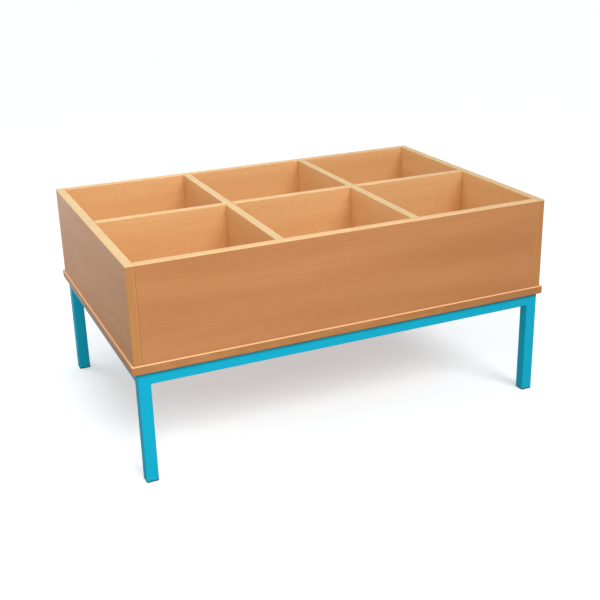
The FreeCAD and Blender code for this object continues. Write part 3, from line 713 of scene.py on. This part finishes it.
def screw_places():
    """Where the screws stand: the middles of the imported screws, one at each sign of x and y."""
    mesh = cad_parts["frame_screws"].data
    points = np.empty(len(mesh.vertices) * 3, np.float32)
    mesh.vertices.foreach_get("co", points)
    points = points.reshape(-1, 3)
    places = []
    for sign_x, sign_y in CORNERS.values():
        own = points[(points[:, 0] * sign_x > 0) & (points[:, 1] * sign_y > 0)]
        places.append((own.min(axis=0) + own.max(axis=0)) / 2)
    return places


screws_low, screws_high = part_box("frame_screws")
shells = []
for place in screw_places():
    add_shell(shells, screw_rings(place, screws_low.z + SCREW_HEAD_HEIGHT, screws_high.z))
screws = build_piece("recessed_frame_screws", shells, zinc_plate(), SCREW_SMOOTH_ANGLE)
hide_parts("frame_screws")


# ---------------------------------------------------------------- biscuits
# Flat lens-shaped pieces of pressed beech, glued into slots across the joints between the
# walls and between walls and base. They are bare wood, out of sight once the box is glued.

PRESSED_COLOURS = ((0.62, 0.42, 0.22), (0.50, 0.31, 0.15))
PRESSED_FLECKS = 0.6
PRESSED_ROUGHNESS = (0.75, 0.85)

PRESSED_BEECH = beech("pressed_beech", "x", PRESSED_COLOURS, PRESSED_FLECKS,
                      rough=PRESSED_ROUGHNESS)
for joint in ("corner", "base"):
    finish_node(f"{joint}_biscuits", PRESSED_BEECH)


# ---------------------------------------------------------------- walls and their edging
# Front, back and two end panels of the same beech-faced board, standing on the base board.
# The end panels run the full depth. The grain runs round the box, and strips cover the
# walls' top edges and the end panels' front and back edges.

# The top strips are painted much paler than the upright strips of the same edging: painted light
# from above.
RIM_PAINTED_LIGHT_COLOURS = {
    "x": ((0.790, 0.515, 0.250), (0.680, 0.415, 0.182)),
    "y": ((0.740, 0.525, 0.262), (0.625, 0.425, 0.190)),
}
RIM_PATCHES = 0.5
UPRIGHT_COLOURS = ((0.478, 0.222, 0.061), (0.360, 0.149, 0.035))
UPRIGHT_PATCHES = 0.4
# A painted highlight: a thin pale line down each upright strip's edge at its joint with the front
# and back panels.
UPRIGHT_PAINTED_HIGHLIGHT = (4 * MM, 1 * MM)
UPRIGHT_PAINTED_HIGHLIGHT_DEPTH = 0.10
JOINT_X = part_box("right_end_front_edging")[0].x

BOARD = {axis: beech(f"beech_board_{axis}", axis, BOARD_COLOURS[axis], BOARD_FLECKS,
                     BOARD_ARCHES, inside=True) for axis in "xy"}
RIM = {axis: beech(f"beech_rim_{axis}", axis, RIM_PAINTED_LIGHT_COLOURS[axis], STRIP_FLECKS,
                   patchy=RIM_PATCHES) for axis in "xy"}
UPRIGHT = beech("beech_upright_strip", "z", UPRIGHT_COLOURS, STRIP_FLECKS,
                patchy=UPRIGHT_PATCHES,
                painted_highlight=("X", *(JOINT_X + width for width in UPRIGHT_PAINTED_HIGHLIGHT),
                        UPRIGHT_PAINTED_HIGHLIGHT_DEPTH))

for side in ("front", "back"):
    dress_board(f"{side}_panel", BOARD["x"])
    dress_board(f"{side}_panel_edging", RIM["x"])
for side in ("left", "right"):
    dress_board(f"{side}_end_panel", BOARD["y"])
    dress_board(f"{side}_end_top_edging", RIM["y"])
    dress_board(f"{side}_end_front_edging", UPRIGHT)
    dress_board(f"{side}_end_back_edging", UPRIGHT)


# ---------------------------------------------------------------- dividers and their edging
# One long divider and two cross dividers in the same board, halved into each other and
# pushed into grooves in the walls, level with the walls' tops. Each has the same strip
# along its top edge.

dress_board("long_divider", BOARD["x"])
for stretch in ("left", "middle", "right"):
    dress_board(f"long_divider_edging_{stretch}", RIM["x"])
for side in ("left", "right"):
    dress_board(f"cross_divider_{side}", BOARD["y"])
    dress_board(f"cross_divider_{side}_edging", RIM["y"])


# ---------------------------------------------------------------- floor
# A plain pale floor without an edge in sight. Seen from below it lets the view through, so
# that the bin's underside can be looked at.

FLOOR_REACH = 40.0
FLOOR_COLOUR = (0.95, 0.95, 0.95)
FLOOR_SEEN_COLOUR = (0.885, 0.945, 0.97)
FLOOR_GLOW_COLOUR = (0.98, 0.98, 1.00)
FLOOR_GLOW = 0.34
FLOOR_MIRRORED_COLOUR = (0.25, 0.25, 0.25)
FLOOR_MIRRORED_GLOW = 0.75
FLOOR_ROUGHNESS = 0.9
POOL_RADIUS = 0.5
POOL_EDGE = 1.4


def pale_floor():
    """Diffuse floor, with a faint glow of its own to the eye that it doesn't shed as light.

    In reflections it is white away from the bin, and darker in a painted pool of shade around it.
    """
    finish, surface, place = new_finish("pale_floor")
    output = next(node for node in finish.node_tree.nodes if node.type == "OUTPUT_MATERIAL")
    rays = step(finish, "ShaderNodeLightPath", {})
    eye = rays.outputs["Is Camera Ray"]
    mirror = sum_of(finish, rays.outputs["Is Glossy Ray"], rays.outputs["Is Transmission Ray"])
    colour = tint(finish, mirror, FLOOR_COLOUR, FLOOR_MIRRORED_COLOUR)
    distance = step(finish, "ShaderNodeVectorMath", {0: place}, operation="LENGTH")
    # Painted shade in reflections: the mirrored floor glows only away from the bin.
    far = remap(finish, distance.outputs["Value"], POOL_RADIUS, POOL_EDGE)
    far_mirror = product(finish, mirror, far)
    feed(finish, surface, {
        "Base Color": tint(finish, eye, colour, FLOOR_SEEN_COLOUR),
        "Roughness": FLOOR_ROUGHNESS,
        "Specular IOR Level": 0.0,
        "Emission Color": (*FLOOR_GLOW_COLOUR, 1.0),
        "Emission Strength": sum_of(finish, product(finish, eye, FLOOR_GLOW),
                                    product(finish, far_mirror, FLOOR_MIRRORED_GLOW)),
    })
    below = step(finish, "ShaderNodeNewGeometry", {}).outputs["Backfacing"]
    clear = step(finish, "ShaderNodeBsdfTransparent", {})
    both = step(finish, "ShaderNodeMixShader", {0: below, 1: surface.outputs["BSDF"],
                                                2: clear.outputs["BSDF"]})
    feed(finish, output, {"Surface": both.outputs["Shader"]})
    return finish


corners = [(-FLOOR_REACH, -FLOOR_REACH, 0), (FLOOR_REACH, -FLOOR_REACH, 0),
           (FLOOR_REACH, FLOOR_REACH, 0), (-FLOOR_REACH, FLOOR_REACH, 0)]
floor_mesh = bpy.data.meshes.new("floor")
floor_mesh.from_pydata(corners, [], [(0, 1, 2, 3)])
floor_mesh.materials.append(pale_floor())
floor = bpy.data.objects.new("floor", floor_mesh)
bpy.context.scene.collection.objects.link(floor)
floor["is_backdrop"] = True


# ---------------------------------------------------------------- light
# Plain soft studio light: a broad overhead light that leans to the front, a key light in
# front and a little to the left, a far low one in front that reaches the legs, a lamp over the
# compartments, a low one behind the left end and an even white surround that fills the shadows.

# The overhead light's spread is in degrees, and the lamps' panels are in metres.
SURROUND_LEVEL = 0.46
OVERHEAD_FROM = (0.32, -1.05, 1.0)
OVERHEAD_STRENGTH = 1.30
OVERHEAD_SPREAD = 28
AREA_LAMPS = {
    "key": {"place": (-0.60, -1.55, 1.25), "aim": (-0.25, -0.10, 0.20), "size": 0.8, "watts": 7.6},
    "legs": {"place": (-1.60, -3.60, 0.35), "aim": (-0.30, 0.00, 0.20), "size": 0.8, "watts": 28.0},
    "top": {"place": (-0.38, 0.08, 1.32), "aim": (0.10, 0.00, 0.35), "size": 0.8, "watts": 4.9},
    "low": {"place": (-1.00, 1.10, 0.50), "aim": (-0.46, 0.25, 0.35), "size": 0.6, "watts": 3.0},
}


def white_surround():
    """An even surround: plain white where it is seen or mirrored, dimmer as a light."""
    world = bpy.data.worlds.new("white_surround")
    world.use_nodes = True
    world.node_tree.nodes.clear()
    rays = step(world, "ShaderNodeLightPath", {})
    seen = sum_of(world, rays.outputs["Is Camera Ray"], rays.outputs["Is Glossy Ray"])
    seen = sum_of(world, seen, rays.outputs["Is Transmission Ray"])
    level = remap(world, seen, 0.0, 1.0, SURROUND_LEVEL, 1.0)
    back = step(world, "ShaderNodeBackground", {"Color": (1.0, 1.0, 1.0, 1.0),
                                                "Strength": level})
    output = step(world, "ShaderNodeOutputWorld", {"Surface": back.outputs["Background"]})
    output.is_active_output = True
    return world


def hang_lamp(name, lamp, place, aim):
    """Puts a lamp at a place, turned towards the point that it lights."""
    holder = bpy.data.objects.new(name, lamp)
    holder.location = place
    holder.rotation_euler = (Vector(place) - Vector(aim)).to_track_quat("Z", "Y").to_euler()
    bpy.context.scene.collection.objects.link(holder)


bpy.context.scene.world = white_surround()
overhead = bpy.data.lights.new("overhead", "SUN")
overhead.energy = OVERHEAD_STRENGTH
overhead.angle = np.radians(OVERHEAD_SPREAD)
hang_lamp("overhead", overhead, OVERHEAD_FROM, (0.0, 0.0, 0.0))
for name, setting in AREA_LAMPS.items():
    lamp = bpy.data.lights.new(name, "AREA")
    lamp.size = setting["size"]
    lamp.energy = setting["watts"]
    hang_lamp(name, lamp, setting["place"], setting["aim"])


# ---------------------------------------------------------------- camera
# Stands in front of the bin's left end, a little over a metre high, and looks down on it.

# Its turn is in degrees, its lens and sensor in millimetres.
CAMERA_PLACE = (-0.8563, -1.9860, 1.0420)
CAMERA_TURN = (69.449, 0.990, -25.263)
CAMERA_LENS = 59.9
SENSOR_WIDTH = 36.0
CAMERA_SHIFT = (-0.0333, -0.0250)
CAMERA_RANGE = (0.05, 200.0)

lens = bpy.data.cameras.new("camera")
lens.sensor_width = SENSOR_WIDTH
lens.lens = CAMERA_LENS
lens.shift_x, lens.shift_y = CAMERA_SHIFT
lens.clip_start, lens.clip_end = CAMERA_RANGE
camera = bpy.data.objects.new("camera", lens)
camera.location = CAMERA_PLACE
camera.rotation_euler = np.radians(CAMERA_TURN)
bpy.context.scene.collection.objects.link(camera)
bpy.context.scene.camera = camera
bpy.context.scene.view_settings.view_transform = "Standard"

low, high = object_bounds()
